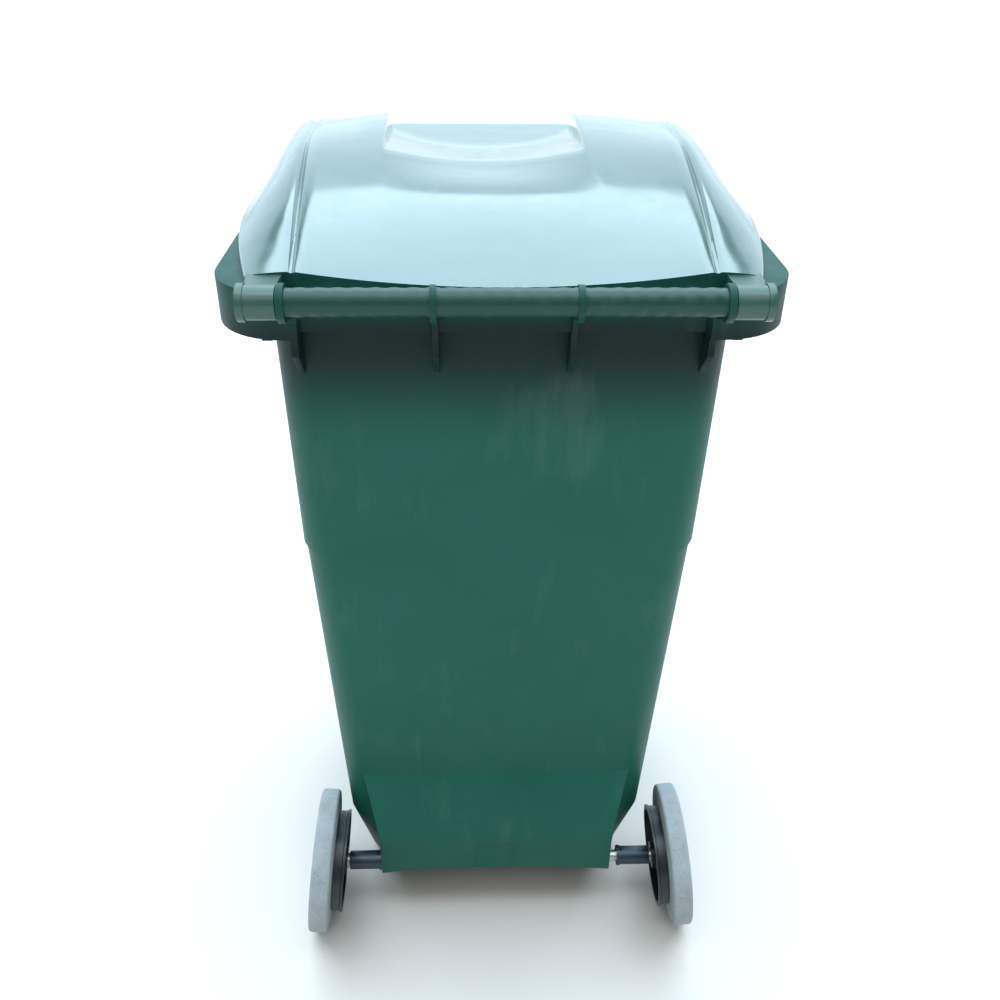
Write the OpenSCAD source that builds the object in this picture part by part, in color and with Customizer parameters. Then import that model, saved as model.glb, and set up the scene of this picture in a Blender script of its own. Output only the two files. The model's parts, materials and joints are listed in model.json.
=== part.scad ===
// Two-wheeled refuse bin, 240 litre class, with a hinged lid.
// Frame: +Z up, the ground at z = 0, the handle and the wheels on the +Y side,
// the origin on the ground at the middle of the bin's plan.

/* [Overall] */
// Width over the rim
rim_w = 580; // [560:5:640]
// Depth from the lid's front lip to the back of the hinge knuckles
depth = 720; // [690:5:780]
// Height of the rim's top face above the ground
rim_z = 1000; // [900:5:1080]

/* [Tub] */
// Thickness of the tub's wall
wall = 4.5; // [3.5:0.1:5.5]
// Width of the rear wall just under the rim
rear_w_top = 457; // [446:1:470]
// Width of the rear wall just under the stacking step
rear_w_step = 444; // [420:1:450]
// Width of the rear wall at the top of the axle housing
rear_w_low = 408; // [390:2:416]
// Width of the rear wall at the base
rear_w_base = 372; // [350:2:380]
// How much wider the front of the tub is than its rear
front_flare = 44; // [20:2:50]
// Distance from the hinge axis forward to the top of the rear wall
handle_reach = 62; // [54:1:72]
// How far the rear wall leans in between the rim and the axle housing
rear_rake = 53; // [40:1:60]
// How far the front wall leans in between the rim and the base
front_rake = 105; // [80:1:120]
// Distance from the rear wall forward to the rear edge of the base
base_setback = 54; // [48:1:66]
// Height of the tub's underside above the ground
base_z = 18; // [15:1:30]
// Height of the stacking step in the tub's sides
step_z = 655; // [600:5:720]
// How far the tub steps out there
step_out = 4; // [2:0.5:6]
// Radius of the tub's upright corners at the rear
corner_r = 44; // [36:1:50]
// Radius of the tub's upright corners at the front
front_corner_r = 60; // [50:1:70]

/* [Rim] */
// Depth of the rim's skirt
skirt_h = 48; // [40:1:56]
// Thickness of the rim's flange and skirt
rim_t = 4; // [3:0.5:5]
// How far the rim stands out from the front wall
rim_front = 30; // [24:1:36]
// How far the rim's rear corners stand forward of the hinge axis
rim_back_gap = 21.5; // [20.5:0.5:26]
// Radius of the rim's rear corners in plan
rim_rear_r = 75; // [60:1:80]
// Radius of the rim's front corners in plan
rim_front_r = 55; // [45:1:65]
// How far the rim stands out from the rear wall, behind the handle's middle
rim_centre = 14; // [10:1:18]

/* [Handle] */
// Diameter of the handle bar
handle_d = 28; // [26:0.5:30]
// Wall of the handle's tube
handle_wall = 4; // [3:0.5:5]
// Length of the handle bar
handle_len = 422; // [400:2:426]
// Distance between the two middle ribs
rib_pitch = 138.6; // [100:0.2:200]
// Thickness of a middle rib
rib_t = 6; // [4:0.5:8]
// Thickness of an end bracket
bracket_t = 7; // [6:0.5:8]
// Wall of the ribs' rings round the handle bar
ring_wall = 2.2; // [2:0.1:3]

/* [Lid] */
// Thickness of the lid
lid_t = 4; // [3:0.5:5]
// Height of the lid's side strips above the rim
strip_h = 12; // [10:1:14]
// Height of the lid's crown above the rim
crown_h = 60; // [50:1:70]
// Distance from the front lip back to the crown's highest line
crown_back = 250; // [220:5:280]
// Half width of the raised panel at the front
panel_front = 243; // [230:1:250]
// Half width of the raised panel at the rear
panel_rear = 204; // [196:1:204]
// Half width of the hand-hold in the front edge
scoop_half = 143; // [110:1:160]
// Depth of the hand-hold from front to back at its middle
scoop_depth = 165; // [120:5:180]
// Height of the hand-hold's floor above the rim
scoop_z = 21; // [18:1:26]
// Diameter of a hinge knuckle
knuckle_d = 33; // [30:0.5:34]
// Length of a hinge knuckle
knuckle_len = 29; // [24:1:32]
// Thickness of the flange at a knuckle's outer end
flange_t = 7; // [6:0.5:8]

/* [Hinge pins] */
// Diameter of a hinge pin
pin_d = 12; // [10:0.5:14]
// Diameter of a hinge pin's head
pin_head_d = 20; // [18:0.5:22]
// How deep a hinge pin sits in the end of the handle bar
pin_grip = 38; // [30:1:45]

/* [Axle and wheels] */
// Diameter of the steel axle
axle_d = 16; // [14:0.5:20]
// Distance from the hinge axis forward to the axle
axle_setback = 91.5; // [86:0.5:98]
// Half length of the axle housing under the rear wall
housing_half = 168; // [150:1:175]
// Side play of the axle in its housing
side_play = 12; // [6:1:15]
// Lean of the wheels, with their feet outwards, set by the bent ends of the axle
camber = 6; // [0:0.5:8]
// Radius of a wheel over its tyre
wheel_r = 100; // [90:1:110]
// Width of a tyre's tread
tread_w = 26; // [22:1:30]
// Distance from the middle of the bin to the middle of a tyre
wheel_x = 258; // [250:1:262]
// Radius of the wheel's barrel, which the tyre sits on
barrel_r = 70; // [64:1:76]
// Outer diameter of an axle sleeve
sleeve_d = 26.5; // [24:0.5:30]
// Diameter of the pin that locks a wheel to the axle
lock_d = 6; // [5:0.5:7]
// Travel of the lock pin
lock_travel = 3; // [2.6:0.1:3.2]

/* [Hidden] */
$fn = 64;

fit_gap = 0.05;          // radial clearance of every running fit and push fit
side_gap = 1;            // gap between faces that pass each other sideways
eps = 0.5;               // overlap of a cut or a join past its face
green = "#2c6152";

hinge_y = depth / 2 - knuckle_d / 2 - 1.5;
hinge_z = rim_z - 1;
front_y = -depth / 2;

// Wheels: the axle's ends are bent up by the camber just outside the sleeves
bend_x = housing_half + side_play / 2 + 50;
hub_reach = (wheel_x - bend_x) / cos(camber);          // from the bend to the tyre's middle
shoulder = 4;
tyre_drop = wheel_r * cos(camber) + (tread_w / 2 - shoulder) * sin(camber);
axle_z = tyre_drop - hub_reach * sin(camber);
axle_y = hinge_y - axle_setback;
axle_shift = -side_play / 2;                           // the axle rests against its left sleeve
axle_r = axle_d / 2;

// Axle housing
housing_t = 4;
housing_top = axle_z + 62;
housing_back = axle_y + axle_r + 8;
housing_low = axle_z - axle_r - 3;
housing_arch = 10;
rib_places = [-1, -0.6, -0.22, 0.22, 0.6, 1];

// Tub
low_z = housing_top + 4;
rear_top_y = hinge_y - handle_reach;
lip_gap = 10;                                          // from the lid's lip back to the rim
front_top_y = front_y + lip_gap + rim_front;
corner_n = 6;

function rear_y(z) = rear_top_y - rear_rake * (rim_z - z) / (rim_z - low_z);
function front_wall_y(z) = front_top_y + front_rake * (rim_z - z) / (rim_z - base_z);
function flare(z) = front_flare / 2 * (0.45 + 0.55 * (z - base_z) / (rim_z - base_z));

// A corner's arc: centre, radius and starting direction, turning left by a quarter
function arc(cx, cy, r, a0, n = corner_n) =
    [for (i = [0:n]) [cx + r * cos(a0 + 90 * i / n), cy + r * sin(a0 + 90 * i / n)]];
// The tub's outline at height z, from its rear half width and rear y, stepped out, then drawn in
function tub_ring(z, half, yr, out, inset) = let (
    h = half + out - inset,
    hf = half + flare(z) + out - inset,
    yf = front_wall_y(z) - out + inset,
    yb = yr + out - inset,
    r = corner_r - inset,
    rf = front_corner_r - inset)
    concat(arc(h - r, yb - r, r, 0), arc(r - h, yb - r, r, 90),
           arc(rf - hf, yf + rf, rf, 180), arc(hf - rf, yf + rf, rf, 270));

function tub_levels(bottom, top) = [bottom, low_z, step_z - 6, step_z + 2, top];
function tub_rings(inset) = [
    tub_ring(base_z, rear_w_base / 2, rear_y(low_z) - base_setback, 0, inset),
    tub_ring(low_z, rear_w_low / 2, rear_y(low_z), 0, inset),
    tub_ring(step_z, rear_w_step / 2, rear_y(step_z), 0, inset),
    tub_ring(step_z, rear_w_step / 2, rear_y(step_z), step_out, inset),
    tub_ring(rim_z, rear_w_top / 2 - step_out, rear_top_y, step_out, inset)];

module loft(levels, rings) {
    m = len(rings[0]);
    last = len(levels) - 1;
    sides = [for (k = [0:last - 1]) for (i = [0:m - 1])
        let (a = k * m + i, b = k * m + (i + 1) % m)
        each [[a, a + m, b + m], [a, b + m, b]]];
    polyhedron(
        points = [for (k = [0:last]) for (p = rings[k]) [p[0], p[1], levels[k]]],
        faces = concat([[for (i = [0:m - 1]) i]], [[for (i = [m - 1:-1:0]) last * m + i]], sides));
}

// Draws a shape of the Y and Z plane as a plate from x over a thickness
module plate_x(x, t) { translate([x, 0, 0]) rotate([90, 0, 90]) linear_extrude(t) children(); }
// A cylinder along X from x0 to x1
module rod_x(r, x0, x1) { translate([x0, 0, 0]) rotate([0, 90, 0]) cylinder(r = r, h = x1 - x0); }
module both_sides() { children(); mirror([1, 0, 0]) children(); }

// Rim
rim_back = hinge_y - rim_back_gap;
rim_mid = rear_top_y + step_out + rim_centre;
bracket_out = handle_len / 2 + 2;                      // outer face of an end bracket
bracket_in = bracket_out - bracket_t;

function rim_plan(inset) = let (half = rim_w / 2, r = rim_rear_r, rf = rim_front_r, yf = front_y + lip_gap)
    concat(arc(half - r, rim_back - r, r - inset, 0),
           [[bracket_in + inset, rim_back - inset], [bracket_in + inset, rim_mid - inset],
            [-bracket_in - inset, rim_mid - inset], [-bracket_in - inset, rim_back - inset]],
           arc(r - half, rim_back - r, r - inset, 90),
           arc(rf - half, yf + rf, rf - inset, 180), arc(half - rf, yf + rf, rf - inset, 270));

module rim() {
    translate([0, 0, rim_z - rim_t]) linear_extrude(rim_t) polygon(rim_plan(0));
    translate([0, 0, rim_z - skirt_h]) linear_extrude(skirt_h) difference() {
        polygon(rim_plan(0));
        polygon(rim_plan(rim_t));
    }
}

// Stiffeners between the tub and the rim's skirt, and a deeper one at each rear corner
stiffener_t = 3;
stiffener_h = skirt_h - 8;
module rim_stiffeners() {
    for (x = [-200:80:200])
        translate([x - stiffener_t / 2, front_y + lip_gap + rim_t - eps, rim_z - stiffener_h])
            cube([stiffener_t, rim_front + 2, stiffener_h - eps]);
    both_sides() {
        for (y = [-240:96:240])
            translate([rear_w_step / 2, y - stiffener_t / 2, rim_z - stiffener_h])
                cube([rim_w / 2 - rim_t + eps - rear_w_step / 2, stiffener_t, stiffener_h - eps]);
        translate([rear_w_top / 2 - 14, rear_top_y - 22, rim_z - skirt_h - 16])
            cube([30, 14, skirt_h + 16 - eps]);
    }
}

// The arm that carries the handle bar: a ring, and a web down to the rear wall
arm_top = 52;
arm_foot = 106;
module arm(ring_r) {
    difference() {
        hull() {
            translate([hinge_y, hinge_z]) circle(ring_r);
            polygon([[rear_y(rim_z - arm_top) + step_out - 1, rim_z - arm_top],
                     [rear_y(rim_z - arm_top) + step_out - 3, rim_z - arm_top],
                     [rear_y(rim_z - arm_foot) + step_out - 3, rim_z - arm_foot],
                     [rear_y(rim_z - arm_foot) + step_out - 1, rim_z - arm_foot]]);
        }
        translate([hinge_y + 6, hinge_z - 66]) circle(48);
    }
}
handle_r = handle_d / 2;
ring_r = handle_r + ring_wall;
end_ring_r = knuckle_d / 2 + 1.5;
handle_seat = handle_r + fit_gap;
pin_r = pin_d / 2;

module arms() {
    for (side = [-1, 1]) {
        plate_x(side * rib_pitch / 2 - rib_t / 2, rib_t) arm(ring_r);
        plate_x(side > 0 ? bracket_in : -bracket_out, bracket_t) arm(end_ring_r);
    }
}

// Housing that the axle passes through: a back plate, a sloping top and ribs
module housing_shape() {
    polygon([[rear_y(low_z) - base_setback + 4, base_z + 12], [rear_y(low_z) - wall + 1, low_z + 8],
             [housing_back - 12, housing_top], [housing_back, housing_top - 5],
             [housing_back, housing_low], [axle_y - axle_r - 8, housing_low]]);
}
module axle_housing() {
    difference() {
        plate_x(-housing_half, 2 * housing_half) housing_shape();
        difference() {
            plate_x(-housing_half - eps, 2 * housing_half + 2 * eps)
                translate([-housing_t, -housing_t]) housing_shape();
            for (k = rib_places)
                translate([k * (housing_half - housing_t / 2) - housing_t / 2, 0, 0])
                    cube([housing_t, depth / 2, rim_z / 2]);
        }
        translate([0, 0, housing_low + housing_arch - 1400]) rotate([-90, 0, 0])
            cylinder(r = 1400, h = depth, $fn = 400);
    }
}

// Foot rail that the front of the bin stands on
foot_w = 260;
foot_l = 42;
foot_t = 9;
module foot_rail() {
    y0 = front_wall_y(base_z) + front_corner_r / 2;
    translate([-foot_w / 2, y0, 0]) difference() {
        cube([foot_w, foot_l, base_z + 2]);
        for (k = [0:3]) translate([foot_t + k * (foot_w - foot_t) / 4, foot_t, -eps])
            cube([(foot_w - foot_t) / 4 - foot_t, foot_l - 2 * foot_t, base_z]);
    }
}

module body() {
    color(green) difference() {
        union() {
            loft(tub_levels(base_z, rim_z), tub_rings(0));
            rim();
            rim_stiffeners();
            arms();
            axle_housing();
            foot_rail();
        }
        loft(tub_levels(base_z + wall, rim_z + eps), tub_rings(wall));
        translate([0, hinge_y, hinge_z]) {
            rod_x(handle_seat, -handle_len / 2 - fit_gap, handle_len / 2 + fit_gap);
            rod_x(pin_r + fit_gap, -bracket_out - eps, bracket_out + eps);
        }
        translate([0, axle_y, axle_z]) rod_x(axle_r + fit_gap, -housing_half - eps, housing_half + eps);
    }
}

module handle_bar() {
    color("#2b5c4f") translate([0, hinge_y, hinge_z]) difference() {
        rod_x(handle_r, -handle_len / 2, handle_len / 2);
        rod_x(handle_r - handle_wall, pin_grip + 6 - handle_len / 2, handle_len / 2 - pin_grip - 6);
        both_sides() rod_x(pin_r + fit_gap, handle_len / 2 - pin_grip - 7, handle_len / 2 + eps);
    }
}

// Lid
lid_rear_y = hinge_y - 24;
panel_bow = 14;                                        // how far the rear edge bows out
crest_y = front_y + crown_back;
panel_front_y = front_y + 8;
panel_foot = 9;                                        // height at which the front face ends
knuckle_in = bracket_out + side_gap;
knuckle_out = knuckle_in + knuckle_len;
flange_out = knuckle_out + flange_t;
lid_corner_r = 40;

function panel_plan(i) = concat(
    [[panel_front - i, front_y - 5]],
    [for (k = [6:-1:-6]) [(panel_rear - i) * k / 6, lid_rear_y - i - panel_bow * pow(k / 6, 2)]],
    [[i - panel_front, front_y - 5]]);
function crown(i) = let (a = crest_y - panel_front_y - i, b = crown_h - panel_foot)
    concat([for (t = [90:-9:0]) [crest_y - a * pow(sin(t), 0.9), rim_z + panel_foot - i + b * pow(cos(t), 0.9)]],
           [for (k = [1:7]) let (u = k / 7) [crest_y + u * (lid_rear_y + 2 - crest_y),
                                            rim_z + crown_h - i - (crown_h - strip_h) * u * u]]);
module panel_block(i, low) {
    intersection() {
        plate_x(-panel_front, 2 * panel_front)
            polygon(concat([[panel_front_y + i, low]], crown(i), [[lid_rear_y + 2, low]]));
        translate([0, 0, low - 1]) linear_extrude(crown_h + rim_z - low + 2) polygon(panel_plan(i));
    }
}
function lid_side(i) = [[rim_w / 2 - i, 85], [rim_w / 2 - 14 - i, 190], [flange_out - i, hinge_y - 42],
                        [flange_out - i, hinge_y], [knuckle_in + i, hinge_y], [knuckle_in + i, hinge_y - 36]];
function flip(points) = [for (k = [len(points) - 1:-1:0]) [-points[k][0], points[k][1]]];
function lid_front_corner(i) =
    arc(rim_w / 2 - lid_corner_r, front_y + lid_corner_r, lid_corner_r - i, 270);
function lid_plan(i) = concat(
    lid_front_corner(i), lid_side(i),
    [for (k = [6:-1:-6]) [(panel_rear) * k / 6, lid_rear_y - i - panel_bow * pow(k / 6, 2)]],
    flip(lid_side(i)), flip(lid_front_corner(i)));

module scoop(i) {
    h = scoop_half + i;
    translate([0, 0, rim_z + scoop_z - i]) linear_extrude(crown_h) polygon(concat(
        [[-h, front_y - 10], [h, front_y - 10]],
        [for (k = [6:-1:-6]) [h * k / 6, front_y + scoop_depth + i - (scoop_depth - 75) * pow(k / 6, 2)]]));
}

module strips() {
    translate([0, 0, rim_z]) linear_extrude(strip_h) difference() {
        polygon(lid_plan(0));
        polygon(lid_plan(lid_t));
    }
    translate([0, 0, rim_z + strip_h - lid_t]) linear_extrude(lid_t) difference() {
        polygon(lid_plan(0));
        polygon(panel_plan(lid_t));
    }
}

head_r = pin_head_d / 2;
head_t = 4;
module lid() {
    color("#2f6a5a") difference() {
        union() {
            difference() {
                panel_block(0, rim_z + strip_h - lid_t);
                panel_block(lid_t, rim_z - 20);
            }
            strips();
            intersection() {
                panel_block(0, rim_z + strip_h - lid_t);
                scoop(lid_t);
            }
            both_sides() translate([0, hinge_y, hinge_z]) {
                rod_x(knuckle_d / 2, knuckle_in, knuckle_out);
                rod_x(end_ring_r, knuckle_out - eps, flange_out);
            }
        }
        scoop(0);
        both_sides() translate([0, hinge_y, hinge_z]) {
            rod_x(pin_r + fit_gap, knuckle_in - eps, flange_out + eps);
            rod_x(head_r + 1.5, flange_out - head_t - 2, flange_out + eps);
        }
    }
}

// A barbed pin pushed through the knuckle into the end of the handle bar
module hinge_pin() {
    color("#173f3a") translate([0, hinge_y, hinge_z]) {
        rod_x(pin_r, handle_len / 2 - pin_grip, flange_out - head_t - 2 + eps);
        rod_x(head_r, flange_out - head_t - 2 + fit_gap, flange_out - 2 + fit_gap);
    }
}
module hinge_pin_left() { hinge_pin(); }
module hinge_pin_right() { mirror([1, 0, 0]) hinge_pin(); }

// Wheel frame: the tyre's middle is the origin and +X points outwards along the bent axle end
module at_wheel(side) {
    translate([axle_shift, 0, 0]) mirror([side < 0 ? 1 : 0, 0, 0])
        translate([bend_x, axle_y, axle_z]) rotate([0, -camber, 0]) translate([hub_reach, 0, 0]) children();
}
stub_end = 5;                                          // the axle's end, past the tyre's middle
lock_x = -4;                                           // middle of the lock pin and its groove
groove_r = axle_r - lock_travel + 0.5;
groove_half = lock_d / 2 + 1.5;

collar_r = axle_r + 2.5;
collar_in = -1.2 - hub_reach;
collar_out = 1.6 - hub_reach;

// A bent end of the axle: a collar over the bend, then the bar with its groove
module axle_end() {
    rotate([0, 90, 0]) rotate_extrude() polygon([
        [0, collar_in], [collar_r, collar_in], [collar_r, collar_out], [axle_r, collar_out],
        [axle_r, lock_x - groove_half], [groove_r, lock_x - groove_half],
        [groove_r, lock_x + groove_half], [axle_r, lock_x + groove_half],
        [axle_r, stub_end - 1], [axle_r - 1, stub_end], [0, stub_end]]);
}
module axle() {
    color("#a7b5b3") {
        translate([axle_shift, axle_y, axle_z]) rod_x(axle_r, -bend_x, bend_x);
        at_wheel(1) axle_end();
        at_wheel(-1) axle_end();
    }
}

// Spacer tube between the axle housing and the hub
sleeve_in = housing_half + side_play / 2 + 0.3;
sleeve_out = bend_x - 1.2 - collar_r * sin(camber) - 0.3;
module axle_sleeve() {
    color("#0e2537") translate([axle_shift, axle_y, axle_z]) difference() {
        union() {
            rod_x(sleeve_d / 2, sleeve_in, sleeve_out);
            rod_x(sleeve_d / 2 + 1.5, sleeve_in, sleeve_in + 4);
        }
        rod_x(axle_r + fit_gap, sleeve_in - eps, sleeve_out + eps);
        translate([sleeve_in - eps, -3, 0]) cube([7, 6, sleeve_d]);
    }
}
module axle_sleeve_left() { axle_sleeve(); }
module axle_sleeve_right() { translate([2 * axle_shift, 0, 0]) mirror([1, 0, 0]) axle_sleeve(); }

// Hub: barrel, dished web, boss and ribs, with a tower that holds the lock pin
boss_r = 19;
boss_in = collar_out + 0.3;
barrel_in = -tread_w / 2 - 18;
barrel_out = tread_w / 2 + 1;
barrel_t = 4;
web_in = 3;
web_t = 4;
hub_ribs = 8;
pin_top = 17;                                          // radius reached by the lock pin's upper end
spring_h = 14;
tower_r = 6.5;
tower_top = pin_top + spring_h + 3.6;
plug_t = 3;
lid_of_boss = 9.5;

module hub() {
    color("#10181f") difference() {
        union() {
            rotate([0, 90, 0]) rotate_extrude() {
                polygon([[barrel_r - barrel_t, barrel_in], [barrel_r + 2, barrel_in], [barrel_r + 2, barrel_in + 3],
                         [barrel_r - 0.1, barrel_in + 4], [barrel_r - 0.1, barrel_out], [barrel_r - barrel_t, barrel_out]]);
                polygon([[0, boss_in], [boss_r, boss_in], [boss_r, web_in - 2], [boss_r + 8, web_in],
                         [barrel_r - 2, web_in + 1], [barrel_r - 2, web_in + 1 + web_t],
                         [boss_r + 8, web_in + web_t], [boss_r, lid_of_boss], [0, lid_of_boss]]);
            }
            for (k = [0:hub_ribs - 1]) rotate([360 / hub_ribs * (k + 0.5), 0, 0])
                translate([0, 1.5, 0]) rotate([90, 0, 0]) linear_extrude(3)
                    polygon([[web_in + 2, boss_r - 2], [boss_in + 6, boss_r - 2],
                             [barrel_in + 10, barrel_r - 2], [web_in + 2, barrel_r - 2]]);
            translate([lock_x, 0, 0]) cylinder(r = tower_r, h = tower_top);
        }
        rod_x(axle_r + fit_gap, boss_in - eps, stub_end + 0.5);
        translate([lock_x, 0, 0]) {
            cylinder(r = lock_d / 2 + fit_gap, h = tower_top + eps);
            translate([0, 0, tower_top - plug_t]) cylinder(r = lock_d / 2 + 1, h = plug_t + eps);
        }
    }
}
module hub_left() { at_wheel(1) hub(); }
module hub_right() { at_wheel(-1) hub(); }

// Solid rubber tyre with a flat tread and rounded shoulders
module tyre() {
    w = tread_w / 2;
    seat = barrel_r - 0.1 + fit_gap;
    color("#9aa3a4") rotate([0, 90, 0]) rotate_extrude($fn = 96) polygon([
        [seat, -w - 2], [wheel_r * 0.84, -w - 2], [wheel_r * 0.95, -w], [wheel_r - 1.2, 1.2 - w],
        [wheel_r, shoulder - w], [wheel_r, w - shoulder], [wheel_r - 1.2, w - 1.2], [wheel_r * 0.95, w],
        [wheel_r * 0.84, w + 1], [seat, w + 1]]);
}
module tyre_left() { at_wheel(1) tyre(); }
module tyre_right() { at_wheel(-1) tyre(); }

module lock_pin() {
    color("#c4a35a") translate([lock_x, 0, 0]) {
        translate([0, 0, groove_r + 0.3]) cylinder(r = lock_d / 2, h = pin_top - groove_r - 0.3);
    }
}
module lock_pin_left() { at_wheel(1) lock_pin(); }
module lock_pin_right() { at_wheel(-1) lock_pin(); }

// Coil spring between the lock pin and its plug: a twisted arc, which cuts as a round wire
wire_r = 0.45;
module lock_spring() {
    mid = lock_d / 2 - wire_r - 0.25;
    spread = [-60, -40, -10, 10, 40, 60];
    color("#b8bcc0") translate([lock_x, 0, pin_top + 0.3])
        linear_extrude(height = spring_h, twist = -360 * 5, slices = 80, $fn = 6) polygon(concat(
            [for (a = spread) (mid + wire_r * cos(a * 1.5)) * [cos(a), sin(a)]],
            [for (k = [4:-1:1]) (mid - wire_r * cos(spread[k] * 1.5)) * [cos(spread[k]), sin(spread[k])]]));
}
module lock_spring_left() { at_wheel(1) lock_spring(); }
module lock_spring_right() { at_wheel(-1) lock_spring(); }

module lock_plug() {
    color("#10181f") translate([lock_x, 0, tower_top - plug_t + fit_gap]) cylinder(r = lock_d / 2 + 1 - fit_gap, h = plug_t);
}
module lock_plug_left() { at_wheel(1) lock_plug(); }
module lock_plug_right() { at_wheel(-1) lock_plug(); }

body();
handle_bar();
lid();
hinge_pin_left();
hinge_pin_right();
axle();
axle_sleeve_left();
axle_sleeve_right();
hub_left();
hub_right();
tyre_left();
tyre_right();
lock_pin_left();
lock_pin_right();
lock_spring_left();
lock_spring_right();
lock_plug_left();
lock_plug_right();
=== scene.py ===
import json
import math
import bmesh
import bpy
from mathutils import Matrix, Vector


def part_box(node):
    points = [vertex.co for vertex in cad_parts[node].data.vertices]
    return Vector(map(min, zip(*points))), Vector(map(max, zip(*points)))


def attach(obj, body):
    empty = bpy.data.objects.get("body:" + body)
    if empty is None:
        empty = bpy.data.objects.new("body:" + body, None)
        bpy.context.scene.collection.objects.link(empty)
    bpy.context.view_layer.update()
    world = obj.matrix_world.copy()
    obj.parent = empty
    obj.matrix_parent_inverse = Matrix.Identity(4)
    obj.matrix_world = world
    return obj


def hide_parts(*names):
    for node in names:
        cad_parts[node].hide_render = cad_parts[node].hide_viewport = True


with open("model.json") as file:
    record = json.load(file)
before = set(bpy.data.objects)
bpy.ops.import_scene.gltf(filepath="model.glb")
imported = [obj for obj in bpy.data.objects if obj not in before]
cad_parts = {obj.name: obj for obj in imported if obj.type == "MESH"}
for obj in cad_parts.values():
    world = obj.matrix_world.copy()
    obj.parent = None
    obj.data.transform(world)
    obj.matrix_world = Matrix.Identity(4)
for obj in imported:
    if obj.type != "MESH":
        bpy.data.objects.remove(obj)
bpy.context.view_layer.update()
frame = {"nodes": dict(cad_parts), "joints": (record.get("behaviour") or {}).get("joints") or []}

for spare in ("Cube", "Light", "Camera"):
    if spare in bpy.data.objects:
        bpy.data.objects.remove(bpy.data.objects[spare], do_unlink=True)
print("frame loaded", len(frame["nodes"]), "CAD nodes")

# places shared by several pieces, in metres and radians
hinge = Vector((0, 0.342, 0.999))
sleeveLow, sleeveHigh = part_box("axle_sleeve_left")
axleLine = Vector((0, sleeveLow.y / 2 + sleeveHigh.y / 2, 0.0962))
axleHoleRadius = 0.00805
camber = math.radians(6)
rimTop = 1.000
sameLevel = 1e-5


def clearSelection():
    for item in bpy.context.selected_objects:
        item.select_set(False)


def selectOnly(piece):
    clearSelection()
    bpy.context.view_layer.objects.active = piece
    piece.select_set(True)


def openEdit(piece):
    selectOnly(piece)
    bpy.ops.object.mode_set(mode="EDIT")


def closeEdit():
    bpy.ops.object.mode_set(mode="OBJECT")


def pickVerts(test):
    # selects, in edit mode, every vertex whose place passes the test
    bpy.ops.mesh.select_mode(type="VERT")
    bpy.ops.mesh.select_all(action="DESELECT")
    mesh = bmesh.from_edit_mesh(bpy.context.edit_object.data)
    for vert in mesh.verts:
        vert.select = test(vert.co)
    mesh.select_flush(True)
    mesh.select_flush(False)
    bmesh.update_edit_mesh(bpy.context.edit_object.data)


def pickFaces(test):
    # selects, in edit mode, every face whose centre and normal pass the test
    bpy.ops.mesh.select_mode(type="FACE")
    bpy.ops.mesh.select_all(action="DESELECT")
    mesh = bmesh.from_edit_mesh(bpy.context.edit_object.data)
    for face in mesh.faces:
        face.select = test(face.calc_center_median(), face.normal)
    bmesh.update_edit_mesh(bpy.context.edit_object.data)


def pickEdges(test):
    # selects, in edit mode, every edge whose two ends pass the test together
    bpy.ops.mesh.select_mode(type="EDGE")
    bpy.ops.mesh.select_all(action="DESELECT")
    mesh = bmesh.from_edit_mesh(bpy.context.edit_object.data)
    for edge in mesh.edges:
        edge.select = test(edge.verts[0].co, edge.verts[1].co)
    bmesh.update_edit_mesh(bpy.context.edit_object.data)


def move(value):
    bpy.ops.transform.translate(value=value)


def pushFaces(x, y, z):
    bpy.ops.mesh.extrude_region_move(TRANSFORM_OT_translate={"value": (x, y, z)})


def cutAcross(place, normal):
    # new edges where a plane meets the whole mesh
    bpy.ops.mesh.select_all(action="SELECT")
    bpy.ops.mesh.bisect(plane_co=place, plane_no=normal)


def turnOutward():
    bpy.ops.mesh.select_all(action="SELECT")
    bpy.ops.mesh.normals_make_consistent(inside=False)


def applyModifier(piece, kind, **settings):
    selectOnly(piece)
    modifier = piece.modifiers.new(kind.title(), kind)
    for key, value in settings.items():
        setattr(modifier, key, value)
    bpy.ops.object.modifier_apply(modifier=modifier.name)


def softenEdges(piece, width, segments=2, angle=30):
    applyModifier(piece, "BEVEL", width=width, segments=segments, limit_method="ANGLE",
                  angle_limit=math.radians(angle), use_clamp_overlap=True, miter_outer="MITER_ARC")


def tidyNormals(piece, gap=0.00002):
    openEdit(piece)
    bpy.ops.mesh.select_all(action="SELECT")
    bpy.ops.mesh.remove_doubles(threshold=gap)
    turnOutward()
    closeEdit()


def applyPlace(piece):
    selectOnly(piece)
    bpy.ops.object.transform_apply(location=True, rotation=True, scale=True)


def smooth(piece, angle):
    selectOnly(piece)
    bpy.ops.object.shade_smooth_by_angle(angle=math.radians(angle))


def joinPieces(pieces):
    clearSelection()
    for piece in pieces:
        piece.select_set(True)
    bpy.context.view_layer.objects.active = pieces[0]
    bpy.ops.object.join()
    return pieces[0]


def turnOver(piece):
    # flips a piece to the other side of the bin and turns it the right way out again
    piece.scale.x = -1
    applyPlace(piece)
    tidyNormals(piece)


def mirrorPiece(piece, name):
    twin = piece.copy()
    twin.data = piece.data.copy()
    twin.name = name
    bpy.context.collection.objects.link(twin)
    turnOver(twin)
    return twin


def cut(piece, tool, operation="DIFFERENCE"):
    applyModifier(piece, "BOOLEAN", operation=operation, object=tool, solver="EXACT")
    bpy.data.objects.remove(tool, do_unlink=True)


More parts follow.
